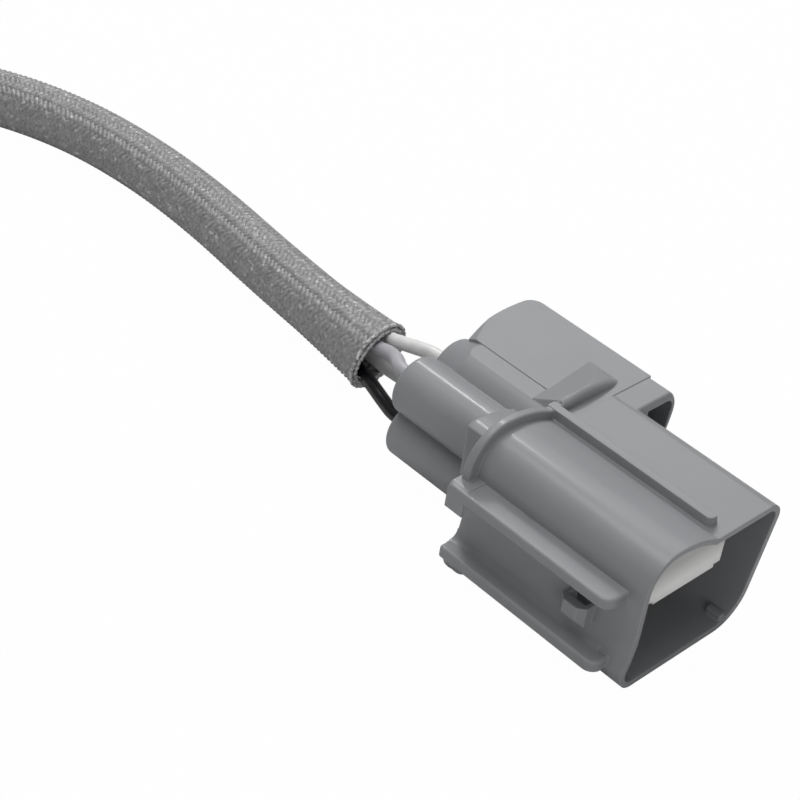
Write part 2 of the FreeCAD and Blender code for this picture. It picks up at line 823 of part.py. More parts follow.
def contact(corner_index, inner_radius, end):
    angle = 45 + 90 * corner_index
    half = contact_width / 2
    x0 = sensor_rear_x
    barrel = sensor_rod(barrel_start, barrel_end, bundle_radius, 0, wire_radius + contact_wall)
    barrel = barrel.cut(sensor_rod(barrel_start - 1, wire_end, bundle_radius, 0, wire_radius))
    low = min(inner_radius, bundle_radius - 0.4)
    high = max(inner_radius + contact_thick, bundle_radius + 0.4)
    start = x0 + barrel_end
    spring_y = sensor_y + inner_radius
    shoulder = box(start, start + contact_thick, sensor_y + low, sensor_y + high,
                   sensor_z - half, sensor_z + half)
    spring = box(start, x0 + end, spring_y, spring_y + contact_thick, sensor_z - half, sensor_z + half)
    piece = barrel.fuse([shoulder, spring])
    piece.rotate(Vector(0, sensor_y, sensor_z), along_x, angle)
    return piece


for name, (corner_index, inner_radius, end) in spring_reach.items():
    save(contact(corner_index, inner_radius, end), name)

# Ceramic bushing around the contact springs
save(ring(bushing_start, bushing_start + bushing_length, bushing_inner, bushing_outer), "ceramic_bushing")

# Zirconia element, its heater, and the seals that hold it in the hexagon
hex_end = hex_start + hex_length
seat = hex_end + flange_length
thread_start = seat + gasket_thick + thread_relief
thread_end = thread_start + thread_length
inner_tube_start = thread_end - inner_tube_overlap
inner_tube_end = inner_tube_start + inner_tube_length
element_tip = inner_tube_end - element_tip_gap
land_start = seal_chamber_end - washer_thick - collar_land
land_radius = seal_chamber_radius - 0.1
land_end = land_start + collar_land
bore_end = element_tip - element_crown
element_profile = [
    (element_rear, element_bore), (element_rear, element_radius), (land_start, element_radius),
    (land_start, land_radius), (land_end - element_land_step, land_radius),
    (land_end, land_radius - element_land_step), (land_end, element_radius + bushing_gap),
    (element_tip - element_nose_length, element_nose_radius),
    (element_tip - 0.35 * element_nose_length, 0.8 * element_nose_radius),
    (element_tip, 0.3 * element_nose_radius), (element_tip, 0.0), (bore_end, 0.0),
    (bore_end, 0.3 * element_bore), (bore_end - element_bore_round, element_bore),
]
save(turned(element_profile), "zirconia_element")
heater_end = bore_end - element_bore_round - heater_tip_gap
heater_shoulder = heater_end - heater_tip_length
save(turned([(heater_start, 0.0), (heater_start, heater_radius), (heater_shoulder, heater_radius),
             (heater_end, 0.5 * heater_radius), (heater_end, 0.0)]), "heater_rod")
talc_start = land_start - talc_length
support_start = talc_start - support_length
save(ring(talc_start, land_start, element_radius, seal_chamber_radius), "talc_seal")
save(ring(support_start, talc_start, element_radius + 0.05, seal_chamber_radius - 0.05), "support_ring")
washer_inner = element_radius + washer_clearance
washer_front = seal_chamber_end - washer_thick
washer_rear = washer_front - washer_clearance
save(turned([(washer_rear, land_radius), (washer_front, land_radius - washer_clearance - 0.05),
             (washer_front, washer_inner), (seal_chamber_end, washer_inner),
             (seal_chamber_end, seal_chamber_radius), (washer_rear, seal_chamber_radius)]), "seat_washer")

# Hexagon shell: neck, hexagon, flange, gasket relief, thread land and the spigot for the tubes
neck_start = hex_start - neck_length
thread_radius = thread_diameter / 2
neck_radius = skirt_inner


def hexagon():
    across_corners = hex_flats / math.cos(math.radians(30)) / 2
    corners = []
    for index in range(7):
        angle = math.radians(60 * index)
        corners.append(Vector(sensor_rear_x + hex_start, sensor_y + across_corners * math.cos(angle),
                              sensor_z + across_corners * math.sin(angle)))
    block = Part.Face(Part.makePolygon(corners)).extrude(along_x * (hex_length + 0.1))
    rounded = turned([(hex_start, 0), (hex_start, hex_flats / 2 - 0.3),
                      (hex_start + hex_bevel, across_corners),
                      (hex_end + 0.1, across_corners), (hex_end + 0.1, 0)])
    return block.common(rounded)


shell_body = turned([
    (neck_start, seal_chamber_radius), (neck_start, neck_radius), (hex_start, neck_radius),
    (hex_start, hex_flats / 2 - 1), (hex_end, hex_flats / 2 - 1), (hex_end, hex_flats / 2),
    (seat, hex_flats / 2), (seat, gasket_relief), (thread_start, gasket_relief),
    (thread_start + 0.5, thread_radius),
    (thread_end - thread_chamfer, thread_radius), (thread_end, thread_radius - thread_chamfer),
    (thread_end, spigot_radius), (thread_end + spigot_length, spigot_radius),
    (thread_end + spigot_length, nose_bore), (seal_chamber_end, nose_bore),
    (seal_chamber_end, seal_chamber_radius),
])
hex_shell = shell_body.fuse(hexagon().cut(ring(hex_start - 1, hex_end + 1, 0, hex_flats / 2 - 2)))
save(hex_shell.removeSplitter(), "hex_shell")
gasket_inner = thread_radius + gasket_clearance
save(ring(seat, seat + gasket_thick, gasket_inner, gasket_inner + gasket_width), "gasket_ring")


# Protection tubes: two drawn caps with holes for the exhaust gas
def cap(start, end, outer, wall, crown):
    inner = outer - wall
    return turned([(start, inner), (start, outer), (end - crown, outer),
                   (end - 0.3 * crown, outer - 0.4 * crown), (end, outer - crown), (end, 1.0),
                   (end - wall, 1.0), (end - wall, inner - crown + 0.2),
                   (end - 0.3 * crown - wall, inner - 0.4 * crown), (end - crown - 0.1, inner)])


def side_holes(body, places, radius, count, shift):
    tools = []
    for place in places:
        for index in range(count):
            angle = math.radians(360 / count * index + shift)
            direction = Vector(0, math.cos(angle), math.sin(angle))
            tools.append(Part.makeCylinder(radius, spigot_radius + 3,
                                           Vector(sensor_rear_x + place, sensor_y, sensor_z), direction))
    return body.cut(tools)


inner_tube = cap(inner_tube_start, inner_tube_end, nose_bore, inner_tube_wall, 1.0)
half_step = 180 / tube_holes_around
inner_places = [inner_tube_end - hole_inset]
inner_tube = side_holes(inner_tube, inner_places, inner_hole_radius, tube_holes_around, half_step)
save(inner_tube, "inner_protection_tube")
outer_radius = spigot_radius + outer_tube_wall
outer_tube_end = inner_tube_end + outer_tube_gap
outer_tube = cap(thread_end, outer_tube_end, outer_radius, outer_tube_wall, 1.4)
outer_places = [thread_end + spigot_length + spigot_hole_inset, outer_tube_end - hole_inset]
outer_tube = side_holes(outer_tube, outer_places, tube_hole_radius, tube_holes_around, 0)
save(outer_tube, "outer_protection_tube")
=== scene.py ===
import math
import random

import bmesh
import bpy
import numpy as np
from mathutils import Matrix, Vector


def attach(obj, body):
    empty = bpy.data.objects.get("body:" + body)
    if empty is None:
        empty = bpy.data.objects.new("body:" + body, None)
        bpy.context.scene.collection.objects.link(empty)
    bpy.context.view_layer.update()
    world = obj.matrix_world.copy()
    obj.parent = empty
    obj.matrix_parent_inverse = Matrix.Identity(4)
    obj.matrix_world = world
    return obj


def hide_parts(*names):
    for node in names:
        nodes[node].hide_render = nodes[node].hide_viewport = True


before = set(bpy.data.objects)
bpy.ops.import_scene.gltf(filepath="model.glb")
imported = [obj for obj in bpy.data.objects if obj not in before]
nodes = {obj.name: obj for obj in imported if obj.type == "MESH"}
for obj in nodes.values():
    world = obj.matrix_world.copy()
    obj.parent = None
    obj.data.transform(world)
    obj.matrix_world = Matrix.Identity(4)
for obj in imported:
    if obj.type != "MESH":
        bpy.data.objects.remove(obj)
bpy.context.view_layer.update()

scene = bpy.context.scene

# The camera looks down on the connector from its mouth side, a little turned about its own line
# of sight. Its distance and focal length give the strong perspective of a close product shot.
camera_azimuth = math.radians(41.85)
camera_elevation = math.radians(36.97)
camera_roll = math.radians(8.33)
camera_place = Vector((0.110609, -0.165443, 0.171961))
frame_pixels = 800
focal_pixels = 2070.5

camera_data = bpy.data.cameras.new("photo_camera")
camera_data.sensor_width = 36.0
camera_data.lens = camera_data.sensor_width * focal_pixels / frame_pixels
camera_data.clip_start = 0.01
camera = bpy.data.objects.new("photo_camera", camera_data)
scene.collection.objects.link(camera)
camera.matrix_world = (
    Matrix.Translation(camera_place)
    @ Matrix.Rotation(camera_azimuth, 4, "Z")
    @ Matrix.Rotation(math.pi / 2 - camera_elevation, 4, "X")
    @ Matrix.Rotation(camera_roll, 4, "Z")
)
scene.camera = camera


# Connector housing: one glass-filled nylon moulding in mid grey. The mould's spark-eroded skin
# gives it an even fine grain, its edges are slightly rounded and polished by handling, with a
# painted highlight along them, and the colour drifts a little where the resin flowed.
class Socket:
    """A shader node's output. Sums with it add Math nodes, and node() adds any other node."""

    def __init__(self, tree, output=None):
        self.tree = tree
        self.output = output

    def node(self, kind, settings, inputs, result=0):
        made = self.tree.nodes.new("ShaderNode" + kind)
        for name, value in settings.items():
            if name == "stops":
                ramp = made.color_ramp
                ramp.elements.remove(ramp.elements[1])
                ramp.elements[0].position, ramp.elements[0].color = value[0]
                for position, colour in value[1:]:
                    ramp.elements.new(position).color = colour
            else:
                setattr(made, name, value)
        for name, value in inputs.items():
            if isinstance(value, Socket):
                self.tree.links.new(value.output, made.inputs[name])
            else:
                made.inputs[name].default_value = value
        return Socket(self.tree, made.outputs[result])

    def maths(self, operation, first, second):
        return self.node("Math", {"operation": operation}, {0: first, 1: second})

    def __add__(self, other):
        return self.maths("ADD", self, other)

    def __radd__(self, other):
        return self.maths("ADD", other, self)

    def __sub__(self, other):
        return self.maths("SUBTRACT", self, other)

    def __rsub__(self, other):
        return self.maths("SUBTRACT", other, self)

    def __mul__(self, other):
        return self.maths("MULTIPLY", self, other)

    def __gt__(self, other):
        return self.maths("GREATER_THAN", self, other)

    def clamped(self, low, high):
        spread = {"From Min": low, "From Max": high, "Value": self}
        return self.node("MapRange", {}, spread)

    def noise(self, scale, detail=2.0, stretch=(1.0, 1.0, 1.0)):
        """Noise on the object's own coordinates, with features about 1 / scale metres wide."""
        place = self.node("TexCoord", {}, {}, "Object")
        place = self.node("Mapping", {}, {"Vector": place, "Scale": stretch})
        return self.node("TexNoise", {}, {"Vector": place, "Scale": scale, "Detail": detail})

    def tinted(self, mask, first, second):
        """A colour that goes from first to second as mask goes from 0 to 1."""
        mixed = {"Factor": mask, "A": first, "B": second}
        made = self.tree.nodes.new("ShaderNodeMix")
        made.data_type = "RGBA"
        for name, value in mixed.items():
            socket = next(s for s in made.inputs if s.name == name and s.enabled)
            if isinstance(value, Socket):
                self.tree.links.new(value.output, socket)
            else:
                socket.default_value = value
        output = next(s for s in made.outputs if s.enabled)
        return Socket(self.tree, output)

    def bumped(self, height, distance, strength=1.0, normal=None):
        settled = {"Height": height, "Distance": distance, "Strength": strength}
        if normal is not None:
            settled["Normal"] = normal
        return self.node("Bump", {}, settled)


def finish_named(name):
    """A new material and the socket helper on its node tree."""
    material = bpy.data.materials.new(name)
    material.use_nodes = True
    return material, Socket(material.node_tree)


def settle(material, **values):
    """Sets the surface shader's sockets to constants or links them."""
    surface = material.node_tree.nodes["Principled BSDF"]
    for name, value in values.items():
        socket = surface.inputs[name.replace("_", " ")]
        if isinstance(value, Socket):
            material.node_tree.links.new(value.output, socket)
        else:
            socket.default_value = value


def grey(level):
    return (level, level, level, 1.0)


def shade_of(colour, share):
    """A colour made darker or lighter, and as solid as before."""
    return [part * share for part in colour[:3]] + [1.0]


def dress(material, *names):
    """Gives CAD nodes a material."""
    for name in names:
        nodes[name].data.materials.clear()
        nodes[name].data.materials.append(material)


edge_radius = 0.0003


def moulded_plastic(name, colour, edge_highlight_colour, grain, roughness, shaded_heights=None):
    """Convex edges are lightened, a painted highlight, and are a little glossier. Between the two
    shaded heights, if it has them, the colour fades to a darker shade of itself, painted shade.
    """
    material, paint = finish_named(name)
    drift = paint.noise(60.0, 3.0)
    speck = paint.noise(2600.0, 2.0)
    rounded = paint.node("Bevel", {"samples": 6}, {"Radius": edge_radius})
    flat = paint.node("NewGeometry", {}, {}, "Normal")
    along = paint.node("VectorMath", {"operation": "DOT_PRODUCT"}, {0: rounded, 1: flat}, "Value")
    edge = (1.0 - along).clamped(0.01, 0.15)
    edge_highlight_and_polish = edge * paint.noise(220.0, 3.0).clamped(0.2, 0.5)
    body = paint.tinted(drift.clamped(0.35, 0.65), shade_of(colour, 0.965), shade_of(colour, 1.035))
    # Painted highlight: convex edges are lightened towards the edge colour, where the rounded edges
    # catch the light.
    body = paint.tinted(edge_highlight_and_polish * 0.8, body, edge_highlight_colour)
    # Painted shade: above the lower height the colour darkens towards 0.55 of itself by the upper
    # height.
    if shaded_heights:
        place = paint.node("TexCoord", {}, {}, "Object")
        height = paint.node("SeparateXYZ", {}, {"Vector": place}, "Z")
        body = paint.tinted(height.clamped(*shaded_heights), body, shade_of(colour, 0.55))
    skin = paint.bumped(speck, grain, 0.35, rounded)
    gloss = roughness + (drift - 0.5) * 0.12 - edge_highlight_and_polish * 0.08
    settle(material, Base_Color=body, Roughness=gloss, Normal=skin, Coat_Weight=0.3,
           Coat_Roughness=0.16)
    return material


housing_finish = moulded_plastic("housing_plastic", (0.285, 0.290, 0.302, 1.0),
                                 (0.46, 0.465, 0.475, 1.0), 0.00003, 0.5)
dress(housing_finish, "connector_housing")


# Terminal retainer: the off-white plastic lock that is pushed in under the dome once the
# terminals are home. It is unfilled resin, smoother and slightly glossier than the housing, and
# its colour is darkened towards its top, painted shade where the dome's lip overhangs it.
retainer_unshaded_below = 0.0135
retainer_shaded_above = 0.0165
retainer_finish = moulded_plastic("retainer_plastic", (0.93, 0.93, 0.915, 1.0),
                                  (0.97, 0.97, 0.96, 1.0), 0.00001, 0.38,
                                  (retainer_unshaded_below, retainer_shaded_above))
dress(retainer_finish, "terminal_retainer")


# Terminals: stamped from tin-plated bronze, one crimped on each wire. Silicone seals grip the
# wires in the towers' rear bores.
def plated(name, colour, roughness, along=(1.0, 1.0, 1.0)):
    material, paint = finish_named(name)
    brushed = paint.noise(900.0, 3.0, along)
    cloud = paint.noise(90.0, 2.0)
    settle(material,
           Base_Color=paint.tinted(cloud.clamped(0.3, 0.7), shade_of(colour, 0.9), colour),
           Metallic=1.0,
           Roughness=roughness + (brushed - 0.5) * 0.2,
           Normal=paint.bumped(brushed, 0.00002, 0.4))
    return material


terminal_names = ["terminal_%d" % number for number in range(1, 5)]
seal_names = ["wire_seal_%d" % number for number in range(1, 5)]
terminal_finish = plated("tin_plate", (0.78, 0.77, 0.73, 1.0), 0.32, (0.1, 1.0, 1.0))
dress(terminal_finish, *terminal_names)


def soft_rubber(name, colour, roughness):
    material, paint = finish_named(name)
    bloom = paint.noise(300.0, 4.0)
    dusty = [c * 1.15 + 0.01 for c in colour[:3]] + [1.0]
    settle(material,
           Base_Color=paint.tinted(bloom.clamped(0.4, 0.7), colour, dusty),
           Roughness=roughness + (bloom - 0.5) * 0.15,
           Normal=paint.bumped(paint.noise(3000.0, 2.0), 0.00002, 0.3))
    return material


seal_finish = soft_rubber("seal_silicone", (0.42, 0.44, 0.43, 1.0), 0.5)
dress(seal_finish, *seal_names)


# Wires: four insulated leads, two white for the heater, grey for the ground and black for the
# signal. Each leaves its tower straight, bends into the bundle and runs through the sleeve.
wire_radius = 0.001
wire_spread = 0.0014
wire_end_x = -0.093
sensor_y = -0.101
sensor_z = 0.011
sensor_rear_x = -0.102
sleeve_route = [
    (-0.0442, 0.0020, 0.0070),
    (-0.0570, 0.0036, 0.0061),
    (-0.0720, 0.0057, 0.0052),
    (-0.0880, 0.0078, 0.0049),
    (-0.1040, 0.0081, 0.0049),
    (-0.1200, 0.0059, 0.0049),
    (-0.1350, 0.0002, 0.0046),
    (-0.1495, -0.0105, 0.0041),
    (-0.1590, -0.0270, 0.0041),
    (-0.1630, -0.0460, 0.0041),
    (-0.1600, -0.0650, 0.0043),
    (-0.1510, -0.0820, 0.0056),
    (-0.1365, -0.0945, 0.0084),
    (-0.1190, sensor_y, sensor_z),
    (sensor_rear_x, sensor_y, sensor_z),
]


def centreline(name, points):
    """A cord's smooth line: one NURBS spline with the route's points as control points."""
    curve = bpy.data.curves.new(name, "CURVE")
    curve.dimensions = "3D"
    curve.resolution_u = 16
    spline = curve.splines.new("NURBS")
    spline.points.add(len(points) - 1)
    for control, point in zip(spline.points, points):
        control.co = (*point, 1.0)
    spline.order_u = 3
    spline.use_endpoint_u = True
    cord = bpy.data.objects.new(name, curve)
    scene.collection.objects.link(cord)
    return cord


def beside(route, side, level):
    """The sleeve's route moved sideways and up by a wire's own place in the bundle."""
    moved = []
    ends = list(zip([route[0]] + route[:-1], route[1:] + [route[-1]]))
    for here, (before, after) in zip(map(Vector, route), ends):
        came = (here - Vector(before)).xy
        goes = (Vector(after) - here).xy
        came = came if came.length else goes
        goes = goes if goes.length else came
        came_normal = Vector((-came.y, came.x, 0.0)).normalized()
        goes_normal = Vector((-goes.y, goes.x, 0.0)).normalized()
        mitre = (came_normal + goes_normal).normalized()
        reach = wire_spread / mitre.dot(came_normal)
        moved.append(here - mitre * (side * reach) + Vector((0, 0, level * wire_spread)))
    return moved


def insulation(name, colour, sheen, roughness):
    material, paint = finish_named(name)
    scuffs = paint.noise(420.0, 4.0)
    settle(material,
           Base_Color=paint.tinted(scuffs.clamped(0.45, 0.75), colour, shade_of(colour, 0.86)),
           Roughness=roughness + (scuffs - 0.5) * 0.2,
           Coat_Weight=sheen,
           Normal=paint.bumped(paint.noise(1500.0, 2.0), 0.00002, 0.3))
    return material


white_insulation = insulation("wire_white", (0.84, 0.84, 0.83, 1.0), 0.1, 0.35)
grey_insulation = insulation("wire_grey", (0.48, 0.48, 0.51, 1.0), 0.1, 0.38)
black_insulation = insulation("wire_black", (0.006, 0.006, 0.008, 1.0), 0.15, 0.25)
wires = [
    ("ground_wire", -1, 1, 0.2661, grey_insulation, "wire_grey",
     [(-0.0251, -0.0033, 0.0122), (-0.0355, -0.0031, 0.0123), (-0.0375, -0.0016, 0.0121),
      (-0.0405, 0.0002, 0.0107), (-0.0438, 0.0008, 0.0094)]),
    ("heater_wire_1", 1, 1, 0.2743, white_insulation, "wire_white",
     [(-0.0251, 0.0035, 0.0122), (-0.0350, 0.0035, 0.0123), (-0.0375, 0.0028, 0.0121),
      (-0.0405, 0.0027, 0.0112), (-0.0438, 0.0029, 0.0100)]),
    ("signal_wire", -1, -1, 0.2655, black_insulation, "wire_black",
     [(-0.0251, -0.0033, 0.0052), (-0.0350, -0.0033, 0.0051), (-0.0378, -0.0025, 0.0051),
      (-0.0405, -0.0019, 0.0055), (-0.0438, -0.0009, 0.0056)]),
    ("heater_wire_2", 1, -1, 0.2736, white_insulation, "wire_white",
     [(-0.0251, 0.0035, 0.0052), (-0.0355, 0.0034, 0.0053), (-0.0390, 0.0030, 0.0055),
      (-0.0420, 0.0024, 0.0058), (-0.0445, 0.0018, 0.0064)]),
]
for node, side, level, length, finish, slot, way_out in wires:
    route = beside(sleeve_route, side, level)
    route[-1] = Vector((wire_end_x, route[-1].y, route[-1].z))
    route = way_out + route[1:]
    wire = centreline("insulated_" + node, route)
    wire.data.bevel_depth = wire_radius
    wire.data.bevel_resolution = 4
    wire.data.use_fill_caps = True
    wire.data.materials.append(finish)
    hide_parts(node)
    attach(wire, "root")


# Braided sleeve: glass-fibre yarns plaited round the four wires, two over and two under. The cut
# end by the connector has sprung open a little, and some fibres have come loose there. The sleeve
# is a little fuller near the connector than at the sensor.
sleeve_radius = 0.004
liner_inner = 0.0033
liner_outer = 0.00350
flare_length = 0.016
flare_growth = 0.0007
fullness = 0.0005
full_until = 0.09
plain_from = 0.14
cut_forward = 0.0011
cut_setback = 0.0032
cut_turn = math.radians(-47.0)
yarns_each_way = 20
turn_length = 0.018
yarn_width = 0.00095
yarn_thick = 0.00026
hem_radius = 0.00028
hem_depths = (0.00015, 0.00075)
hem_waves = (37.0, 23.0)
hem_wave_shift = 9000.0
hem_overhang = 0.3
fibre_radius = 0.00009
fibre_root = 0.0004
steps_per_crossing = 2


class Line:
    """Points, and two square directions, at any distance along a cord's smooth line."""

    def __init__(self, cord):
        mesh = bpy.data.meshes.new_from_object(cord)
        points = np.array([vertex.co for vertex in mesh.vertices])
        bpy.data.meshes.remove(mesh)
        steps = np.linalg.norm(np.diff(points, axis=0), axis=1)
        self.marks = np.concatenate([[0.0], np.cumsum(steps)])
        self.length = float(self.marks[-1])
        self.points = points
        heading = np.gradient(points, self.marks, axis=0)
        heading /= np.linalg.norm(heading, axis=1)[:, None]
        upright = np.array([0.0, 0.0, 1.0])
        sides = np.cross(heading, upright)
        self.sides = sides / np.linalg.norm(sides, axis=1)[:, None]
        self.ups = np.cross(self.sides, heading)

    def at(self, table, along):
        return np.stack([np.interp(along, self.marks, table[:, axis]) for axis in range(3)], axis=-1)

    def wrap(self, along, angle, radius):
        """Places on a tube about the line. It runs straight on before the line's start."""
        before = np.minimum(along, 0.0)[:, None] * (self.points[1] - self.points[0]) / self.marks[1]
        middle = self.at(self.points, along) + before
        side = self.at(self.sides, along)
        up = self.at(self.ups, along)
        turned = side * np.cos(angle)[:, None] + up * np.sin(angle)[:, None]
        return middle + turned * radius[:, None]


def flared(along, radius):
    """The sleeve is pushed back a little near the connector, so it is fuller there."""
    opened = np.clip(1.0 - along / flare_length, 0.0, 1.0)
    full = np.clip((plain_from - along) / (plain_from - full_until), 0.0, 1.0)
    return radius + flare_growth * opened ** 1.4 + fullness * full


def slanted(along, angle):
    """Moves places near the cut end, so that the cut runs slantwise across the sleeve."""
    far_side = 0.5 + 0.5 * np.cos(angle - cut_turn)
    opened = np.clip(1.0 - along / flare_length, 0.0, 1.0)
    return along + (cut_setback * far_side - cut_forward) * opened


def wrapped_sheet(across, lengthways, place):
    """A grid of across x lengthways cells, laid by place(u, v), with u and v from 0 to 1."""
    sheet = bmesh.new()
    layer = sheet.loops.layers.uv.new("yarn")
    bmesh.ops.create_grid(sheet, x_segments=across, y_segments=lengthways, size=0.5)
    sheet.verts.ensure_lookup_table()
    flat = np.array([vertex.co for vertex in sheet.verts]) + 0.5
    for face in sheet.faces:
        face.smooth = True
        for loop in face.loops:
            loop[layer].uv = (flat[loop.vert.index][0], flat[loop.vert.index][1])
    for vertex, spot in zip(sheet.verts, place(flat[:, 0], flat[:, 1])):
        vertex.co = spot
    return sheet


def piece_from(name, sheets, finish):
    """One object from several bmeshes."""
    mesh = bpy.data.meshes.new(name)
    whole = bmesh.new()
    for sheet in sheets:
        sheet.to_mesh(mesh)
        sheet.free()
        whole.from_mesh(mesh)
    whole.to_mesh(mesh)
    whole.free()
    mesh.materials.append(finish)
    piece = bpy.data.objects.new(name, mesh)
    scene.collection.objects.link(piece)
    return piece


def glass_yarn(name, low, high, glint_level):
    material, paint = finish_named(name)
    uv = paint.node("UVMap", {"uv_map": "yarn"}, {}, "UV")
    stretched = paint.node("Mapping", {}, {"Vector": uv, "Scale": (7.0, 90.0, 1.0)})
    fibres = paint.node("TexNoise", {}, {"Vector": stretched, "Scale": 1.0, "Detail": 3.0})
    patch = paint.noise(1700.0, 2.0)
    painted_glints = paint.noise(1300.0, 2.0)
    pale = paint.tinted(patch.clamped(0.36, 0.64), grey(low), grey(high))
    body = paint.tinted(fibres.clamped(0.35, 0.7) * 0.5, pale, grey(high * 1.15))
    # Painted glints: small flecks of a bright grey scattered over the yarns, where the glass fibres
    # sparkle.
    body = paint.tinted(painted_glints.clamped(0.6, 0.72), body, grey(glint_level))
    settle(material, Base_Color=body, Roughness=0.36 + (fibres - 0.5) * 0.3, Specular_IOR_Level=0.8,
           Normal=paint.bumped(patch, 0.0002, 0.5, paint.bumped(fibres, 0.00006, 0.6)))
    return material


def braid_core():
    material, paint = finish_named("braid_core")
    fuzz = paint.noise(1700.0, 3.0)
    body = paint.tinted(fuzz.clamped(0.38, 0.62), grey(0.15), grey(0.46))
    settle(material, Base_Color=body, Roughness=0.85, Normal=paint.bumped(fuzz, 0.0001, 0.8))
    return material


sleeve_line_curve = centreline("sleeve_line", sleeve_route)
sleeve_line = Line(sleeve_line_curve)
bpy.data.objects.remove(sleeve_line_curve)
crossings = int(2 * yarns_each_way * sleeve_line.length / turn_length)


def yarn(number, turn):
    """One yarn of the braid. turn is 1 or -1, the way that it winds."""

    def place(across, lengthways):
        along = lengthways * sleeve_line.length
        winding = 2.0 * math.pi * along / turn_length
        met = number + turn * winding / math.pi * yarns_each_way
        wave = np.clip(1.41 * np.cos(math.pi / 2.0 * (met + number - 0.5)), -1.0, 1.0) * turn
        crown = 1.0 - np.abs(2.0 * across - 1.0) ** 2
        height = 0.5 * yarn_thick * wave + 0.5 * yarn_thick * (2.0 * crown - 1.0)
        radius = flared(along, sleeve_radius - yarn_thick + height)
        steep = math.atan2(2.0 * math.pi * sleeve_radius, turn_length)
        offset = (across - 0.5) * yarn_width
        angle = turn * winding + 2.0 * math.pi * number / yarns_each_way
        angle = angle + turn * offset * math.cos(steep) / sleeve_radius
        shifted = np.clip(along - offset * math.sin(steep), 0.0, sleeve_line.length)
        return sleeve_line.wrap(slanted(shifted, angle), angle, radius)

    return wrapped_sheet(3, crossings * steps_per_crossing, place)


def liner():
    def place(across, lengthways):
        folded = np.where(lengthways < 0.5, liner_outer, liner_inner)
        along = np.abs(1.0 - 2.0 * lengthways) * sleeve_line.length
        angle = across * 2.0 * math.pi
        return sleeve_line.wrap(slanted(along, angle), angle, flared(along, folded))

    tube = wrapped_sheet(32, 600, place)
    bmesh.ops.remove_doubles(tube, verts=tube.verts, dist=0.00001)
    return tube


def hem(depth):
    """A turn of yarn round the cut edge, at a depth inside the sleeve's outer surface."""
    def place(across, lengthways):
        around = lengthways * 2.0 * math.pi
        roll = across * 2.0 * math.pi
        uneven = 0.16 * np.sin(around * hem_waves[0])
        uneven = uneven + 0.1 * np.sin(around * hem_waves[1] + depth * hem_wave_shift)
        plump = hem_radius * (1.0 + uneven)
        along = plump * np.cos(roll) - depth * hem_overhang
        radius = sleeve_radius + flare_growth + fullness - depth + plump * np.sin(roll)
        return sleeve_line.wrap(slanted(along, around), around, radius)

    return wrapped_sheet(8, 240, place)


def loose_fibre(start_angle, span, reach, spread):
    """A fibre that has sprung out of the cut edge in a loop."""
    def place(across, lengthways):
        around = start_angle + span * lengthways
        roll = across * 2.0 * math.pi
        arch = np.sin(lengthways * math.pi)
        along = -reach * arch + fibre_radius * np.cos(roll)
        lifted = flare_growth + fullness - fibre_root + spread * arch
        radius = sleeve_radius + lifted + fibre_radius * np.sin(roll)
        return sleeve_line.wrap(slanted(along, around), around, radius)

    return wrapped_sheet(5, 14, place)


yarn_finish = glass_yarn("glass_braid", 0.19, 0.33, 0.62)
hem_finish = glass_yarn("glass_fray", 0.12, 0.62, 0.8)
core = piece_from("sleeve_core", [liner()], braid_core())
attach(core, "root")
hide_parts("braided_sleeve")
for name, turn in (("braid_right_hand", 1), ("braid_left_hand", -1)):
    winding = piece_from(name, [yarn(number, turn) for number in range(yarns_each_way)], yarn_finish)
    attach(winding, "root")
luck = random.Random(7)
# How many loose fibres, and the ranges of their angle in degrees, span, reach and spread
all_round = (26, (0.0, 360.0), (0.08, 0.25), (0.0002, 0.0007), (-0.0006, 0.0004))
at_the_low_side = (14, (195.0, 250.0), (0.1, 0.3), (0.0004, 0.0012), (-0.0010, 0.0002))
fibres = []
for count, places, spans, reaches, spreads in (all_round, at_the_low_side):
    for _ in range(count):
        around = math.radians(luck.uniform(*places))
        span = luck.choice((-1, 1)) * luck.uniform(*spans)
        reach = luck.uniform(*reaches)
        fibres.append(loose_fibre(around, span, reach, luck.uniform(*spreads)))
edge = piece_from("sleeve_hem", [hem(depth) for depth in hem_depths] + fibres, hem_finish)
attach(edge, "root")


# Sensor body: turned hexagon shell and drawn steel tubes, with the sealing ring, and inside them
# the element, its heater, ceramic bushings and contact springs. The shell's thread is too fine
# for the solid, so its finish carries the turns, one groove that winds round the plain land.
plated_steel = plated("plated_steel", (0.60, 0.60, 0.60, 1.0), 0.34, (1.0, 0.2, 0.2))
drawn_steel = plated("stainless_steel", (0.62, 0.61, 0.59, 1.0), 0.30, (1.0, 0.15, 0.15))
hot_steel = plated("hot_steel", (0.56, 0.54, 0.51, 1.0), 0.33, (1.0, 0.15, 0.15))
gasket_steel = plated("gasket_steel", (0.55, 0.54, 0.52, 1.0), 0.28, (1.0, 0.15, 0.15))
contact_metal = plated("contact_metal", (0.72, 0.71, 0.68, 1.0), 0.3)
dress(plated_steel, "seat_washer")
dress(drawn_steel, "rear_shell")

dress(hot_steel, "inner_protection_tube", "outer_protection_tube")
dress(gasket_steel, "gasket_ring")
dress(contact_metal, "heater_contact_1", "heater_contact_2", "signal_contact", "ground_contact")
dress(soft_rubber("grommet_rubber", (0.05, 0.05, 0.055, 1.0), 0.6), "wire_grommet")

thread_pitch = 0.0015
thread_starts = -0.0474
thread_depth = 0.0016


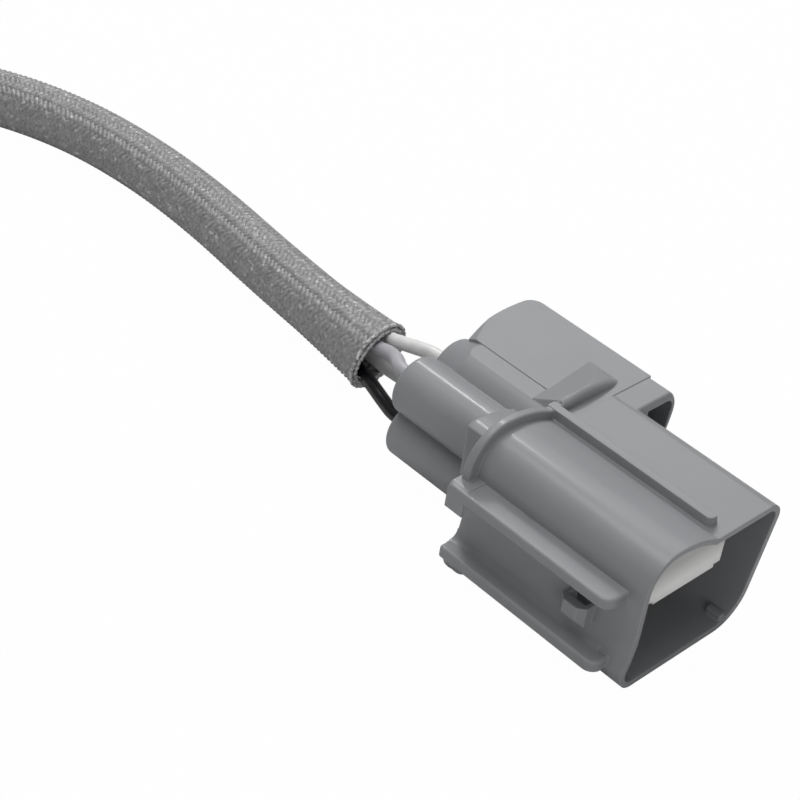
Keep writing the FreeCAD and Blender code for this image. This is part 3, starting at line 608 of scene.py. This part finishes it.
def threaded_steel():
    material = plated("threaded_steel", (0.60, 0.60, 0.60, 1.0), 0.34, (1.0, 0.2, 0.2))
    paint = Socket(material.node_tree)
    place = paint.node("TexCoord", {}, {}, "Object")
    forward = paint.node("SeparateXYZ", {}, {"Vector": place}, "X")
    across = paint.node("SeparateXYZ", {}, {"Vector": place}, "Y")
    upward = paint.node("SeparateXYZ", {}, {"Vector": place}, "Z")
    turned = paint.maths("ARCTAN2", upward - sensor_z, across - sensor_y)
    winding = forward * (1.0 / thread_pitch) + turned * (0.5 / math.pi)
    groove = paint.maths("PINGPONG", winding, 0.5)
    settle(material, Normal=paint.bumped(groove * (forward > thread_starts), thread_depth, 1.0))
    return material


dress(threaded_steel(), "hex_shell")


def fired_ceramic(name, colour, roughness, pore):
    material, paint = finish_named(name)
    pores = paint.noise(pore, 4.0)
    settle(material,
           Base_Color=paint.tinted(pores.clamped(0.4, 0.65), shade_of(colour, 0.88), colour),
           Roughness=roughness + (pores - 0.5) * 0.2,
           Normal=paint.bumped(pores, 0.00003, 0.5))
    return material


dress(fired_ceramic("white_ceramic", (0.86, 0.85, 0.82, 1.0), 0.6, 1800.0),
      "ceramic_bushing", "support_ring")
dress(fired_ceramic("element_ceramic", (0.80, 0.78, 0.74, 1.0), 0.7, 1200.0), "zirconia_element")
dress(fired_ceramic("heater_ceramic", (0.36, 0.36, 0.38, 1.0), 0.55, 1500.0), "heater_rod")
dress(fired_ceramic("talc_powder", (0.74, 0.73, 0.70, 1.0), 0.9, 2600.0), "talc_seal")


# Stage: a plain pale floor in front of a white background, under large soft lamps, as in a product
# shot. The camera sees the floor as white with a trace of the part's shadow.
floor_whiteness = 0.985
floor_mesh = bpy.data.meshes.new("floor")
floor_shape = bmesh.new()
bmesh.ops.create_grid(floor_shape, x_segments=1, y_segments=1, size=3.0)
floor_shape.to_mesh(floor_mesh)
floor_shape.free()
floor = bpy.data.objects.new("floor", floor_mesh)
scene.collection.objects.link(floor)
floor_finish, paint = finish_named("pale_floor")
tree = floor_finish.node_tree
matt = paint.node("BsdfDiffuse", {}, {"Color": grey(0.6)})
glow = paint.node("Emission", {}, {"Color": grey(1.0), "Strength": 1.0})
seen = paint.node("LightPath", {}, {}, "Is Camera Ray")
shown = paint.node("MixShader", {}, {0: seen * floor_whiteness, 1: matt, 2: glow})
tree.links.new(shown.output, tree.nodes["Material Output"].inputs["Surface"])
floor_mesh.materials.append(floor_finish)

world = bpy.data.worlds.new("studio")
world.use_nodes = True
scene.world = world
paint = Socket(world.node_tree)
strength = 0.2 + paint.node("LightPath", {}, {}, "Is Camera Ray") * 0.8
background = world.node_tree.nodes["Background"]
background.inputs["Color"].default_value = grey(1.0)
world.node_tree.links.new(strength.output, background.inputs["Strength"])


def soft_box(name, place, target, size, watts, mirrored=True):
    """A lamp. One that isn't mirrored lights the part, but leaves no gloss on it."""
    light = bpy.data.lights.new(name, "AREA")
    light.shape = "RECTANGLE"
    light.size, light.size_y = size
    light.energy = watts
    lamp = bpy.data.objects.new(name, light)
    scene.collection.objects.link(lamp)
    lamp.visible_glossy = mirrored
    lamp.location = place
    lamp.rotation_euler = (Vector(target) - Vector(place)).to_track_quat("-Z", "Y").to_euler()


soft_box("key_box", (-0.33, 0.25, 0.46), (0.0, 0.0, 0.015), (0.26, 0.26), 1.1, False)
soft_box("top_sheen", (-0.277, 0.414, 0.43), (0.0, 0.0, 0.015), (0.2, 0.2), 0.22)
soft_box("key_spark", (-0.33, 0.25, 0.46), (0.0, 0.0, 0.015), (0.05, 0.05), 0.52)
soft_box("left_fill", (-0.10, -0.08, 0.62), (0.0, 0.0, 0.01), (0.4, 0.4), 1.6)
soft_box("mouth_fill", (0.40, -0.25, 0.12), (0.015, 0.0, 0.008), (0.2, 0.2), 0.36)

scene.view_settings.view_transform = "Standard"
